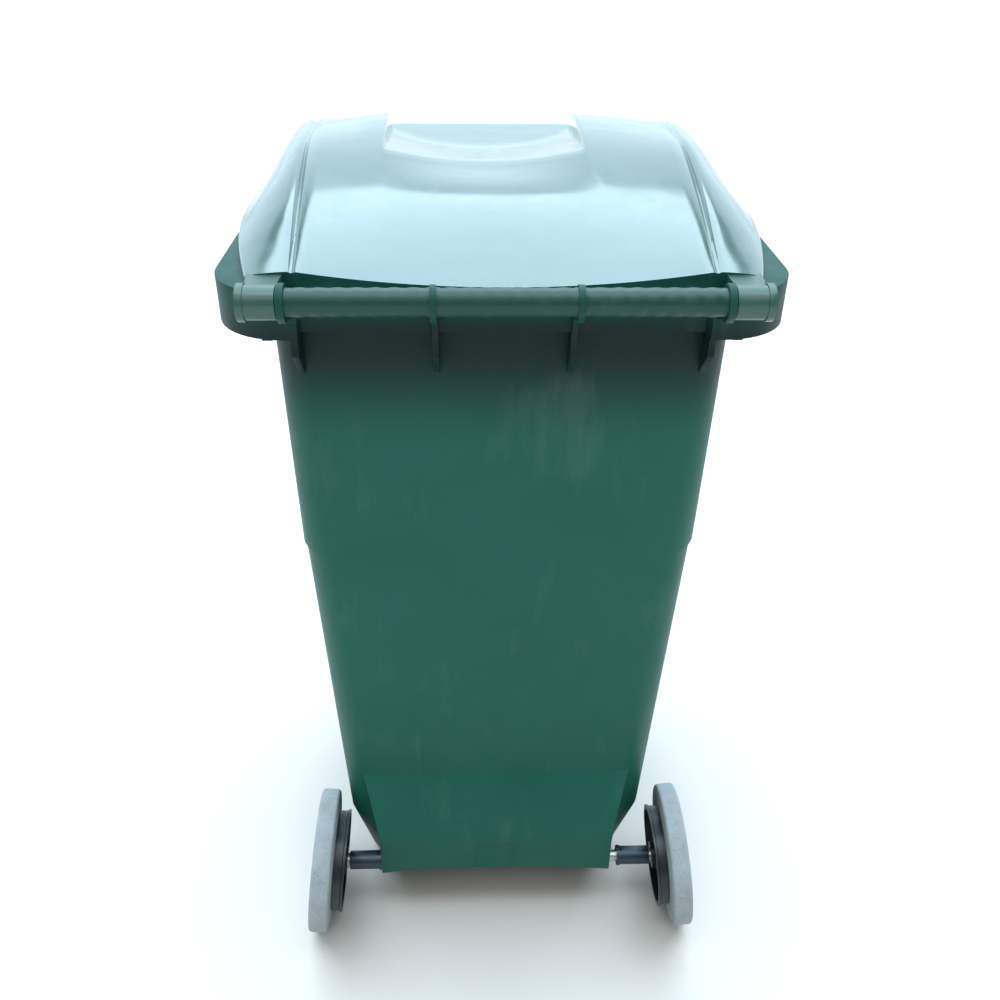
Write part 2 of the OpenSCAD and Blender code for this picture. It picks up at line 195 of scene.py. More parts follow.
def addRod(name, radius, start, end, sides=48):
    # a rod along X from one x to the other, at the y and z of the start
    clearSelection()
    bpy.ops.mesh.primitive_cylinder_add(vertices=sides, radius=radius, depth=abs(end - start[0]),
                                        location=((start[0] + end) / 2, start[1], start[2]),
                                        rotation=(0, math.pi / 2, 0))
    rod = bpy.context.object
    rod.name = name
    applyPlace(rod)
    return rod


def addBox(name, low, high):
    clearSelection()
    bpy.ops.mesh.primitive_cube_add(size=1, location=[(a + b) / 2 for a, b in zip(low, high)])
    box = bpy.context.object
    box.name = name
    box.scale = [b - a for a, b in zip(low, high)]
    applyPlace(box)
    return box


def finishPiece(piece, name, body, slotName, material, *nodes, angle=35):
    # names a piece and gives it its finish, its body and the CAD nodes that it stands for
    piece.name = name
    piece.data.name = name
    piece.data.materials.clear()
    piece.data.materials.append(material)
    smooth(piece, angle)
    if nodes:
        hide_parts(*nodes)
    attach(piece, body)
    return piece


def linear(hexColour):
    # an sRGB hex colour as the linear values that sockets take
    channels = [int(hexColour[i:i + 2], 16) / 255 for i in (1, 3, 5)]
    return [c / 12.92 if c <= 0.04045 else ((c + 0.055) / 1.055) ** 2.4 for c in channels] + [1]


def newMaterial(name):
    material = bpy.data.materials.new(name)
    material.use_nodes = True
    tree = material.node_tree
    tree.nodes.clear()
    shader = addNode(tree, "ShaderNodeBsdfPrincipled")
    addNode(tree, "ShaderNodeOutputMaterial", links={"Surface": (shader, "BSDF")})
    return material, tree, shader


def addNode(tree, kind, values=None, links=None, **settings):
    # a new node with its sockets set, its inputs linked as {input: (node, output)} and its options set
    node = tree.nodes.new(kind)
    for key, value in settings.items():
        setattr(node, key, value)
    for key, value in (values or {}).items():
        node.inputs[key].default_value = value
    for key, (source, output) in (links or {}).items():
        tree.links.new(source.outputs[output], node.inputs[key])
    return node


millimetre = 0.001


def perMetre(sizeInMillimetres):
    # the noise scale whose features are about this size on Object coordinates
    return 1 / (sizeInMillimetres * millimetre)


def makePolyethylene(name, base, deep, gloss, grain, dust, dustColour="#9aa8a2", waves=0.0, paintedRimShade=None):
    # injection moulded high density polyethylene: a slightly waxy sheen, faint flow streaks,
    # chalky rubs where things have brushed past, and a fine grain in the skin
    material, tree, shader = newMaterial(name)
    place = addNode(tree, "ShaderNodeTexCoord")
    cloud = addNode(tree, "ShaderNodeTexNoise", {"Scale": perMetre(170), "Detail": 4, "Roughness": 0.55},
                    {"Vector": (place, "Object")})
    tint = addNode(tree, "ShaderNodeMix", {"A": linear(base), "B": linear(deep)},
                   {"Factor": (cloud, "Fac")}, data_type="RGBA")
    if paintedRimShade:
        # painted shade by height, the same all round: a dark band painted on the wall below the rim, where
        # the rim and the lid throw shade
        height = addNode(tree, "ShaderNodeSeparateXYZ", links={"Vector": (place, "Object")})
        below = addNode(tree, "ShaderNodeMapRange", {"From Min": 0.80, "From Max": 0.93},
                        {"Value": (height, "Z")}, interpolation_type="SMOOTHSTEP")
        rim = addNode(tree, "ShaderNodeMapRange",
                      {"From Min": 0.951, "From Max": 0.985, "To Min": 1, "To Max": 0.5},
                      {"Value": (height, "Z")}, interpolation_type="SMOOTHSTEP")
        shade = addNode(tree, "ShaderNodeMath", None, {0: (below, "Result"), 1: (rim, "Result")},
                        operation="MULTIPLY")
        tint = addNode(tree, "ShaderNodeMix", {"B": linear(paintedRimShade)},
                       {"Factor": (shade, "Value"), "A": (tint, "Result")}, data_type="RGBA")
    # flow streaks and rubs run up and down the wall
    stretch = addNode(tree, "ShaderNodeMapping", {"Scale": (1, 1, 0.16)}, {"Vector": (place, "Object")})
    streak = addNode(tree, "ShaderNodeTexNoise", {"Scale": perMetre(26), "Detail": 6, "Roughness": 0.62},
                     {"Vector": (stretch, "Vector")})
    patch = addNode(tree, "ShaderNodeTexNoise", {"Scale": perMetre(120), "Detail": 2, "Roughness": 0.5},
                    {"Vector": (place, "Object")})
    rub = addNode(tree, "ShaderNodeMath", None, {0: (streak, "Fac"), 1: (patch, "Fac")},
                  operation="MULTIPLY")
    rubs = addNode(tree, "ShaderNodeMapRange", {"From Min": 0.29, "From Max": 0.42, "To Max": dust},
                   {"Value": (rub, "Value")})
    chalk = addNode(tree, "ShaderNodeMix", {"B": linear(dustColour)},
                    {"Factor": (rubs, "Result"), "A": (tint, "Result")}, data_type="RGBA")
    tree.links.new(chalk.outputs["Result"], shader.inputs["Base Color"])
    haze = addNode(tree, "ShaderNodeMapRange",
                   {"From Min": 0.3, "From Max": 0.7, "To Min": gloss, "To Max": gloss + 0.12},
                   {"Value": (streak, "Fac")})
    tree.links.new(haze.outputs["Result"], shader.inputs["Roughness"])
    # the real grain is about 0.15 mm, drawn at 1.2 mm so that it shows
    skin = addNode(tree, "ShaderNodeTexNoise", {"Scale": perMetre(1.2), "Detail": 2},
                   {"Vector": (place, "Object")})
    grainBump = addNode(tree, "ShaderNodeBump", {"Strength": grain, "Distance": 0.2 * millimetre},
                        {"Height": (skin, "Fac")})
    # a slow unevenness from the moulding's shrinkage
    swell = addNode(tree, "ShaderNodeTexNoise", {"Scale": perMetre(90), "Detail": 1},
                    {"Vector": (place, "Object")})
    swellBump = addNode(tree, "ShaderNodeBump", {"Strength": 1.0, "Distance": waves},
                        {"Height": (swell, "Fac"), "Normal": (grainBump, "Normal")})
    tree.links.new(swellBump.outputs["Normal"], shader.inputs["Normal"])
    shader.inputs["IOR"].default_value = 1.54
    return material


# the tub's finish carries a painted shade: a dark band painted below the rim, by height
greenTub = makePolyethylene("mouldedGreenPolyethylene", "#1d6152", "#195447", 0.40, 0.35, 0.055,
                            waves=1.2 * millimetre, paintedRimShade="#07211f")
greenLid = makePolyethylene("polishedGreenPolyethylene", "#1f544b", "#1a4a43", 0.13, 0.05, 0.03,
                            waves=1.6 * millimetre)
greenKnuckle = makePolyethylene("satinGreenPolyethylene", "#33584b", "#294c41", 0.24, 0.15, 0.06)
greenGrip = makePolyethylene("wornGreenPolyethylene", "#15453b", "#113b32", 0.30, 0.12, 0.05)
navySleeve = makePolyethylene("darkMouldedPolyethylene", "#14303f", "#0f2535", 0.30, 0.2, 0.18, "#6f8086")
blackHub = makePolyethylene("blackMouldedPolypropylene", "#0e1d22", "#0a161b", 0.32, 0.25, 0.30, "#59676b")
greenPin = makePolyethylene("darkGreenNylon", "#16403b", "#113531", 0.35, 0.15, 0.05)
# matched under this studio's bright floor: the textured skins of the wall and the grip mirror
# less of it than smooth plastic, and the lid's polished skin has a thin clear gloss over it
for material, socket, value in (
    (greenTub, "Specular IOR Level", 0.15),
    (greenGrip, "Specular IOR Level", 0.3),
    (greenLid, "Coat Weight", 0.7),
    (greenLid, "Coat Roughness", 0.12),
):
    material.node_tree.nodes["Principled BSDF"].inputs[socket].default_value = value


def makeDustyRubber():
    # solid tyre rubber under a dry coat of road dust: pale and matt, darker where the dust has rubbed off
    material, tree, shader = newMaterial("dustySolidRubber")
    place = addNode(tree, "ShaderNodeTexCoord")
    cloud = addNode(tree, "ShaderNodeTexNoise", {"Scale": perMetre(28), "Detail": 6, "Roughness": 0.6},
                    {"Vector": (place, "Object")})
    coat = addNode(tree, "ShaderNodeMix", {"A": linear("#858d8e"), "B": linear("#b4bcbe")},
                   {"Factor": (cloud, "Fac")}, data_type="RGBA")
    speck = addNode(tree, "ShaderNodeTexNoise", {"Scale": perMetre(3), "Detail": 4, "Roughness": 0.7},
                    {"Vector": (place, "Object")})
    worn = addNode(tree, "ShaderNodeMapRange", {"From Min": 0.56, "From Max": 0.72, "To Max": 0.55},
                   {"Value": (speck, "Fac")})
    colour = addNode(tree, "ShaderNodeMix", {"B": linear("#3c4547")},
                     {"Factor": (worn, "Result"), "A": (coat, "Result")}, data_type="RGBA")
    tree.links.new(colour.outputs["Result"], shader.inputs["Base Color"])
    pits = addNode(tree, "ShaderNodeBump", {"Strength": 0.5, "Distance": 0.4 * millimetre},
                   {"Height": (speck, "Fac")})
    tree.links.new(pits.outputs["Normal"], shader.inputs["Normal"])
    shader.inputs["Roughness"].default_value = 0.82
    shader.inputs["IOR"].default_value = 1.52
    return material


def makePlatedSteel(name, base, rough):
    # zinc plated drawn bar: a soft grey sheen, fine draw lines round it and dull freckles of oxide
    material, tree, shader = newMaterial(name)
    place = addNode(tree, "ShaderNodeTexCoord")
    stretch = addNode(tree, "ShaderNodeMapping", {"Scale": (0.05, 1, 1)}, {"Vector": (place, "Object")})
    lines = addNode(tree, "ShaderNodeTexNoise", {"Scale": perMetre(0.8), "Detail": 3},
                    {"Vector": (stretch, "Vector")})
    oxide = addNode(tree, "ShaderNodeTexNoise", {"Scale": perMetre(9), "Detail": 5},
                    {"Vector": (place, "Object")})
    tint = addNode(tree, "ShaderNodeMix", {"A": linear(base), "B": linear("#8f8f86")},
                   {"Factor": (oxide, "Fac")}, data_type="RGBA")
    tree.links.new(tint.outputs["Result"], shader.inputs["Base Color"])
    haze = addNode(tree, "ShaderNodeMapRange", {"To Min": rough - 0.1, "To Max": rough + 0.15},
                   {"Value": (lines, "Fac")})
    tree.links.new(haze.outputs["Result"], shader.inputs["Roughness"])
    bump = addNode(tree, "ShaderNodeBump", {"Strength": 0.2, "Distance": 0.1 * millimetre},
                   {"Height": (lines, "Fac")})
    tree.links.new(bump.outputs["Normal"], shader.inputs["Normal"])
    shader.inputs["Metallic"].default_value = 1
    return material


dustyTyre = makeDustyRubber()
platedAxle = makePlatedSteel("zincPlatedSteel", "#c9ccc6", 0.38)
platedLock = makePlatedSteel("platedSpringSteel", "#c2c4c4", 0.30)
print("materials made")


tub = {
    "wall": 0.0045,
    "cornerSteps": 12,
    # height, then half width, far y and corner radius of the rear, then of the front
    "rings": [
        (0.0180, (0.1960, 0.1730, 0.038), (0.2040, -0.2150, 0.060)),
        (0.1628, (0.2140, 0.2270, 0.038), (0.2240, -0.2305, 0.060)),
        (0.6490, (0.2330, 0.2582, 0.038), (0.2490, -0.2831, 0.060)),
        (0.6570, (0.2362, 0.2588, 0.038), (0.2525, -0.2871, 0.060)),
        (0.9955, (0.2395, 0.2806, 0.038), (0.2600, -0.3240, 0.060)),
    ],
    "flange": ((0.2855, 0.3160, 0.0705), (0.2855, -0.3455, 0.0505)),
    "skirt": 0.0435,
    "flangeCut": 0.2055,
    "flangeStep": 0.001,
    "recessDepth": 0.0215,
    "soft": 0.0028,
}


def moveCorners(height, before, after):
    # carries the four corner groups of the ring at this height to their new centres and radii
    for half, far, radius, newHalf, newFar, newRadius in (before[0] + after[0], before[1] + after[1]):
        end = 1 if far > 0 else -1
        for side in (-1, 1):
            pickVerts(lambda co: abs(co.z - height) < sameLevel and co.x * side > 0 and co.y * end > 0)
            centre = Vector((side * (half - radius), far - end * radius, height))
            target = Vector((side * (newHalf - newRadius), newFar - end * newRadius, height))
            factor = newRadius / radius
            bpy.ops.transform.resize(value=(factor, factor, 1), center_override=centre)
            move(target - centre)


def extrudeRing(height, lift, before, after):
    pickFaces(lambda centre, normal: abs(centre.z - height) < sameLevel and abs(normal.z) > 0.9)
    pushFaces(0, 0, lift)
    moveCorners(height + lift, before, after)


def buildTub():
    rings, skirt, step = tub["rings"], tub["skirt"], tub["flangeStep"]
    height, rear, front = rings[0]
    clearSelection()
    bpy.ops.mesh.primitive_plane_add(size=1, location=(0, (rear[1] + front[1]) / 2, height))
    shell = bpy.context.object
    shell.scale = (rear[0] * 2, rear[1] - front[1], 1)
    applyPlace(shell)
    openEdit(shell)
    for end, far in ((1, rear), (-1, front)):
        pickVerts(lambda co: co.y * end > 0)
        bpy.ops.transform.resize(value=(far[0] / rear[0], 1, 1), center_override=(0, far[1], height))
        bpy.ops.mesh.bevel(offset=far[2], offset_type="OFFSET", segments=tub["cornerSteps"],
                           affect="VERTICES")
    before = (rear, front)
    for nextHeight, *corners in rings[1:]:
        extrudeRing(height, nextHeight - height, before, tuple(corners))
        height, before = nextHeight, tuple(corners)
    turnOutward()
    # the flange goes out in the same plane, then the skirt hangs from it
    pickFaces(lambda centre, normal: centre.z > height - sameLevel)
    pushFaces(0, 0, step)
    moveCorners(height + step, before, tub["flange"])
    pickVerts(lambda co: co.z > height + step / 2)
    move((0, 0, -step))
    pickFaces(lambda centre, normal: centre.z > height - sameLevel and centre.xy.length < 0.1)
    pushFaces(0, 0, -skirt)
    pickFaces(lambda centre, normal: abs(centre.z - height + skirt) < sameLevel and centre.xy.length < 0.1)
    bpy.ops.mesh.delete(type="ONLY_FACE")
    # the rear of the rim steps in between the handle's end brackets
    for side in (-1, 1):
        for edge in (tub["flangeCut"], tub["flangeCut"] + step):
            pickFaces(lambda centre, normal: centre.y > 0.295 and centre.z > 0.95 and abs(centre.x) < 0.22)
            bpy.ops.mesh.bisect(plane_co=(side * edge, 0, 0), plane_no=(1, 0, 0))
    pickVerts(lambda co: co.y > 0.31 and abs(co.x) < tub["flangeCut"] + step / 2)
    move((0, -tub["recessDepth"], 0))
    closeEdit()
    applyModifier(shell, "SOLIDIFY", thickness=tub["wall"], offset=-1, use_even_offset=True)
    softenEdges(shell, tub["soft"], 3, angle=22)
    return finishPiece(shell, "tub", "tub", "body_plastic", greenTub, "body", angle=30)


# upright flutes pressed into the lower part of the rear wall
flutes = {
    "places": (0.109, -0.074), "half": 0.004, "low": 0.170, "high": 0.395, "proud": 0.0011, "root": 0.003,
    "soft": 0.0009,
}


def rearWallY(z):
    # how far back the rear wall stands at this height, between the base and the stacking step
    (lowZ, low, _), (highZ, high, _) = tub["rings"][1], tub["rings"][2]
    return low[1] + (high[1] - low[1]) * (z - lowZ) / (highZ - lowZ)


def buildFlutes():
    half, low, high, proud = (flutes[k] for k in ("half", "low", "high", "proud"))
    made = []
    for x in flutes["places"]:
        flute = addBox("flute", (x - half, -flutes["root"], low), (x + half, proud, high))
        openEdit(flute)
        for z in (low, high):
            pickVerts(lambda co: abs(co.z - z) < sameLevel)
            move((0, rearWallY(z), 0))
        # the top runs out into the wall
        pickVerts(lambda co: co.z > high - sameLevel and co.y > rearWallY(high))
        move((0, -proud * 1.2, 0))
        closeEdit()
        softenEdges(flute, flutes["soft"], 3)
        made.append(flute)
    return finishPiece(joinPieces(made), "tubFlutes", "tub", "body_plastic", greenTub, "body")


# webs between the tub and the rim's skirt, and a stub under each rear corner
stiffeners = {
    "thick": 0.003, "tall": 0.040, "top": 0.9965, "frontStep": 0.080, "sideStep": 0.096,
    "front": (-0.347, -0.318), "outer": 0.287,
    # the wall's outside along the sides: its x at innerFrom, and how fast it draws in towards the rear
    "inner": 0.2580, "innerFrom": -0.324, "narrowing": 0.0205 / 0.605,
    "stubX": (0.2335, 0.2450), "stubY": (0.262, 0.284), "stubFoot": 0.936, "soft": 0.0012,
}


def buildStiffeners():
    half, top = stiffeners["thick"] / 2, stiffeners["top"]
    foot = top - stiffeners["tall"]
    made = []
    for k in range(-2, 4):
        x = (k - 0.5) * stiffeners["frontStep"]
        rear, front = stiffeners["front"]
        made.append(addBox("web", (x - half, rear, foot), (x + half, front, top)))
    for side in (-1, 1):
        for k in range(-2, 3):
            y = k * stiffeners["sideStep"]
            inner = stiffeners["inner"] - stiffeners["narrowing"] * (y - stiffeners["innerFrom"])
            low, high = sorted((side * inner, side * stiffeners["outer"]))
            made.append(addBox("web", (low, y - half, foot), (high, y + half, top)))
        low, high = sorted(side * x for x in stiffeners["stubX"])
        near, far = stiffeners["stubY"]
        made.append(addBox("stub", (low, near, stiffeners["stubFoot"]), (high, far, top)))
    for web in made:
        softenEdges(web, stiffeners["soft"], 2)
    return finishPiece(joinPieces(made), "rimStiffeners", "tub", "body_plastic", greenTub, "body")


# the four arms that carry the handle
arms = {
    "middle": {"x": 0.0693, "thick": 0.006, "ring": 0.0166},
    "end": {"x": 0.2095, "thick": 0.007, "ring": 0.0180},
    "topDrop": 0.052,
    "footDrop": 0.106,
    "bore": 0.01405,
    # the arm's hollow edge: its centre from the hinge in y and z, and its radius
    "hollow": (0.006, -0.066, 0.048),
    "wallY": (0.2765, 0.2725),
    "box": (0.075, 0.110),
    "spare": 0.01,
    "soft": 0.0011,
}


def buildArm(kind, name):
    size, spare = arms[kind], arms["spare"]
    ring = size["ring"]
    low, high = size["x"] - size["thick"] / 2, size["x"] + size["thick"] / 2
    deep, tall = arms["box"]
    web = addBox("web", (low, hinge.y - deep, hinge.z - tall), (high, hinge.y, hinge.z))
    topY, footY = arms["wallY"]
    openEdit(web)
    # the web's four corners: two on the wall, two on the ring
    for rear, upper, y, z in (
        (False, True, topY, rimTop - arms["topDrop"]),
        (False, False, footY, rimTop - arms["footDrop"]),
        (True, True, hinge.y - ring * 0.78, hinge.z + ring * 0.62),
        (True, False, hinge.y + ring * 0.86, hinge.z - ring * 0.50),
    ):
        startY = hinge.y if rear else hinge.y - deep
        startZ = hinge.z if upper else hinge.z - tall
        pickVerts(lambda co: abs(co.y - startY) < 0.001 and abs(co.z - startZ) < 0.001)
        move((0, y - startY, z - startZ))
    closeEdit()
    cut(web, addRod("ring", ring, (low, hinge.y, hinge.z), high, 64), "UNION")
    dy, dz, radius = arms["hollow"]
    cut(web, addRod("hollow", radius, (low - spare, hinge.y + dy, hinge.z + dz), high + spare, 96))
    cut(web, addRod("bore", arms["bore"], (low - spare, hinge.y, hinge.z), high + spare, 64))
    softenEdges(web, arms["soft"], 3, angle=40)
    twin = mirrorPiece(web, name + "_right")
    finishPiece(web, name + "_left", "tub", "body_plastic", greenTub, "body")
    finishPiece(twin, name + "_right", "tub", "body_plastic", greenTub, "body")


# the trough under the rear wall that the axle runs through
housing = {
    "half": 0.168, "wall": 0.004, "front": 0.205, "back": 0.2665, "low": 0.0858, "top": 0.1588, "arch": 0.010,
    # the slope on top: how high it meets the wall, how far it sinks in there, and how wide it flares
    "rise": 0.265, "sunk": 0.003, "flare": 1.13, "flatBelow": 0.02, "lip": 0.008, "cuts": 8,
    # a shallow pocket at the middle of the back plate
    "pocket": (-0.028, 0.032), "pocketTop": 0.1455, "pocketBorder": 0.0022, "pocketDeep": 0.0018,
    "ribs": (-1, -0.6, -0.22, 0.22, 0.6, 1), "ribFront": 0.1795, "ribFoot": 0.034, "ribLean": (0.046, 0.010),
    "ribRise": 0.0015, "ribSlack": 0.0001, "lug": ((0.122, 0.236, 0.0795), (0.148, 0.2560, 0.0885)),
    "soft": 0.0010, "softRib": 0.0007, "softLug": 0.002,
}


def buildHousing():
    half, wall, back, low, top = (housing[k] for k in ("half", "wall", "back", "low", "top"))
    front, rise, arch = housing["front"], housing["rise"], housing["arch"]
    shell = addBox("housing", (-half, front, low), (half, back, top))
    openEdit(shell)
    # below this cut the end plates stay flat, clear of the sleeves
    cutAcross((0, 0, top - housing["flatBelow"]), (0, 0, 1))
    pickVerts(lambda co: co.y < front + 0.005 and co.z > top - 0.01)
    move((0, rearWallY(rise) - front - housing["sunk"], rise - top))
    bpy.ops.transform.resize(value=(housing["flare"], 1, 1), center_override=(0, 0, 0))
    pickEdges(lambda a, b: min(a.y, b.y) > back - 0.001 and min(a.z, b.z) > top - 0.001)
    bpy.ops.mesh.bevel(offset=housing["lip"], segments=3, affect="EDGES")
    # cuts across it, so that its lower edge can rise into a shallow arch
    places = [k * half / housing["cuts"] for k in range(1 - housing["cuts"], housing["cuts"])]
    for x in places:
        cutAcross((x, 0, 0), (1, 0, 0))
    for x in places:
        pickVerts(lambda co: abs(co.x - x) < 0.001 and co.z < low + 0.001)
        move((0, 0, arch * (1 - (x / half) ** 2)))
    pickFaces(lambda centre, normal: normal.z < -0.5 or normal.y < -0.5)
    bpy.ops.mesh.delete(type="FACE")
    lowX, highX = housing["pocket"]
    for x in (lowX, highX):
        cutAcross((x, 0, 0), (1, 0, 0))
    cutAcross((0, 0, housing["pocketTop"]), (0, 0, 1))
    pickFaces(lambda centre, normal: normal.y > 0.9 and lowX < centre.x < highX
              and centre.z < housing["pocketTop"])
    bpy.ops.mesh.inset(thickness=housing["pocketBorder"])
    move((0, -housing["pocketDeep"], 0))
    closeEdit()
    applyModifier(shell, "SOLIDIFY", thickness=wall, offset=-1, use_even_offset=True)
    softenEdges(shell, housing["soft"], 2, angle=35)
    made = [shell]
    foot, thick = housing["ribFoot"], wall / 2 - housing["ribSlack"]
    for share in housing["ribs"]:
        x = share * (half - wall / 2)
        rib = addBox("rib", (x - thick, housing["ribFront"], foot), (x + thick, back - 0.001, top - 0.001))
        openEdit(rib)
        pickVerts(lambda co: co.y < 0.19 and co.z > 0.1)
        move((0, *housing["ribLean"]))
        pickVerts(lambda co: co.y > 0.22 and co.z < 0.05)
        move((0, 0, low - foot + arch * (1 - share * share) + housing["ribRise"]))
        closeEdit()
        cut(rib, addRod("bore", axleHoleRadius, (x - 0.02, axleLine.y, axleLine.z), x + 0.02, 48))
        softenEdges(rib, housing["softRib"], 2, angle=40)
        made.append(rib)
    lug = addBox("lug", *housing["lug"])
    softenEdges(lug, housing["softLug"], 3)
    made.append(lug)
    return finishPiece(joinPieces(made), "axleHousing", "tub", "body_plastic", greenTub, "body")


footRail = {
    "width": 0.260, "length": 0.042, "tall": 0.0195, "wall": 0.009, "y": -0.185,
    "cells": 4, "cellDeep": 0.0175, "soft": 0.0012,
}


def buildFootRail():
    width, length, wall, y = (footRail[k] for k in ("width", "length", "wall", "y"))
    rail = addBox("footRail", (-width / 2, y, 0), (width / 2, y + length, footRail["tall"]))
    pitch = (width - wall) / footRail["cells"]
    openEdit(rail)
    for k in range(footRail["cells"]):
        for x in (-width / 2 + wall + k * pitch, -width / 2 + (k + 1) * pitch):
            cutAcross((x, 0, 0), (1, 0, 0))
    for edge in (y + wall, y + length - wall):
        cutAcross((0, edge, 0), (0, 1, 0))
    pickFaces(lambda centre, normal: normal.z < -0.9 and y + wall < centre.y < y + length - wall
              and (centre.x + width / 2) % pitch > wall)
    pushFaces(0, 0, footRail["cellDeep"])
    closeEdit()
    softenEdges(rail, footRail["soft"], 2)
    return finishPiece(rail, "footRail", "tub", "body_plastic", greenTub, "body")


handle = {
    "radius": 0.014, "dip": 0.0007, "pitch": 0.0175, "half": 0.211, "plain": 0.005,
    "boreRadius": 0.00605, "boreDeep": 0.038, "soft": 0.0008,
}


def handleRadius(x):
    # finger scallops run along the bar, and it stays round in the arms' rings
    plain = min(abs(abs(x) - arms["middle"]["x"]), abs(handle["half"] - abs(x)))
    if plain < handle["plain"]:
        return handle["radius"]
    return handle["radius"] - handle["dip"] * (0.5 - 0.5 * math.cos(2 * math.pi * x / handle["pitch"]))


def buildHandle():
    half, radius = handle["half"], handle["radius"]
    clearSelection()
    bpy.ops.mesh.primitive_circle_add(vertices=48, radius=radius, fill_type="NGON",
                                      location=(-half, hinge.y, hinge.z), rotation=(0, math.pi / 2, 0))
    bar = bpy.context.object
    applyPlace(bar)
    steps = round(2 * half / (handle["pitch"] / 8))
    openEdit(bar)
    bpy.ops.mesh.select_all(action="SELECT")
    for k in range(1, steps + 1):
        x = -half + 2 * half * k / steps
        pushFaces(2 * half / steps, 0, 0)
        factor = handleRadius(x) / radius
        bpy.ops.transform.resize(value=(1, factor, factor), center_override=(x, hinge.y, hinge.z))
        radius = handleRadius(x)
    turnOutward()
    # the ends are bored for the hinge pins
    for end in (-1, 1):
        pickFaces(lambda centre, normal: normal.x * end > 0.9 and abs(centre.x - end * half) < sameLevel)
        bpy.ops.mesh.inset(thickness=handle["radius"] - handle["boreRadius"])
        pushFaces(-end * handle["boreDeep"], 0, 0)
    closeEdit()
    softenEdges(bar, handle["soft"], 2, angle=50)
    return finishPiece(bar, "gripBar", "tub", "handle_plastic", greenGrip, "handle_bar", angle=40)


lid = {
    # the outline: straight sides to sideEnd, then drawn in to rearHalf at rearEnd
    "front": -0.3598, "corner": 0.040, "half": 0.290, "sideEnd": 0.085, "rearEnd": 0.304, "rearHalf": 0.250,
    # the side strips, the turned-down edge, and the crown from its foot at frontY over its crest
    "stripTop": 1.012, "edgeLow": 1.0003, "crestY": -0.110, "crestZ": 1.060, "footZ": 1.0125,
    "frontY": -0.3525, "roundness": 2.3, "shoulder": 0.009, "frontDrop": (0.0026, 0.0011, 0.0003, 0),
    "thick": 0.0035,
    # the creases between panel and strips, and the valley that follows them
    "creaseFront": 0.256, "creaseRear": 0.204, "rearY": 0.318, "valley": 0.0045, "valleyDeep": 0.0035,
    "proud": 0.0030,
    # the rear edge bows back and down at its middle
    "bow": 0.014, "bowFrom": 0.10, "rearDroop": 0.0105,
    # the hand recess, and the sag of the crown behind it
    "recessHalf": 0.133, "recessTaper": 0.033, "recessShift": 0.015, "recessFloor": 1.0215,
    "recessRear": -0.208, "recessCurve": 0.160, "recessRim": -0.022, "recessWall": 0.0025,
    "saddle": 0.015, "saddleEnd": 0.150,
}


def ease(value):
    value = min(max(value, 0), 1)
    return value * value * (3 - 2 * value)


def lidHalf(y):
    # half the lid's width at this y: round front corners, straight sides, then drawn in to the hinge
    if y < lid["front"] + lid["corner"]:
        reach = lid["front"] + lid["corner"] - y
        return lid["half"] - lid["corner"] + math.sqrt(max(lid["corner"] ** 2 - reach ** 2, 0))
    if y > lid["sideEnd"]:
        along = (y - lid["sideEnd"]) / (lid["rearEnd"] - lid["sideEnd"])
        return lid["half"] - (lid["half"] - lid["rearHalf"]) * along ** 1.5
    return lid["half"]


def crownZ(y):
    if y < lid["crestY"]:
        share, power = min((lid["crestY"] - y) / (lid["crestY"] - lid["frontY"]), 1), lid["roundness"]
        return lid["footZ"] + (lid["crestZ"] - lid["footZ"]) * (1 - share ** power) ** (1 / power)
    share = (y - lid["crestY"]) / (lid["rearY"] + 0.002 - lid["crestY"])
    return lid["crestZ"] - (lid["crestZ"] - lid["stripTop"]) * share ** 2


def recessHalf(y):
    # the hand recess draws in a little towards its rim
    y = min(max(y, lid["frontY"]), lid["recessRim"])
    return lid["recessHalf"] - lid["recessTaper"] * (y - lid["frontY"])


def panelZ(x, y):
    half, rim, wall, full = recessHalf(y), lid["recessRim"], lid["recessWall"], crownZ(y)
    # the crown falls away a little towards the side strips over the front half
    outward, raised = ease((abs(x) - half) / 0.115), ease((full - lid["footZ"]) / 0.020)
    z = full - lid["shoulder"] * outward * ease(-y / 0.25) * raised
    if abs(x) > half + wall:
        return z
    dip = lid["saddle"] * math.cos(math.pi / 2 * min(abs(x) / half, 1)) ** 0.9
    if y > rim:
        return z - dip * ease((lid["saddleEnd"] - y) / (lid["saddleEnd"] - rim))
    # a flat floor with a curved rear edge, a gentle ramp up to the rim and steep ends
    curve = 1 - math.sqrt(1 - min(abs(x) / (half + 0.004), 1) ** 2)
    floorEnd = lid["recessRear"] - lid["recessCurve"] * curve
    rise = max(y - floorEnd, 0) / (rim - floorEnd)
    low = lid["recessFloor"] + (crownZ(rim) - dip - lid["recessFloor"]) * rise ** 1.15
    inside = ease((half + wall - abs(x)) / (2 * wall))
    return z + (min(low, z) - z) * inside


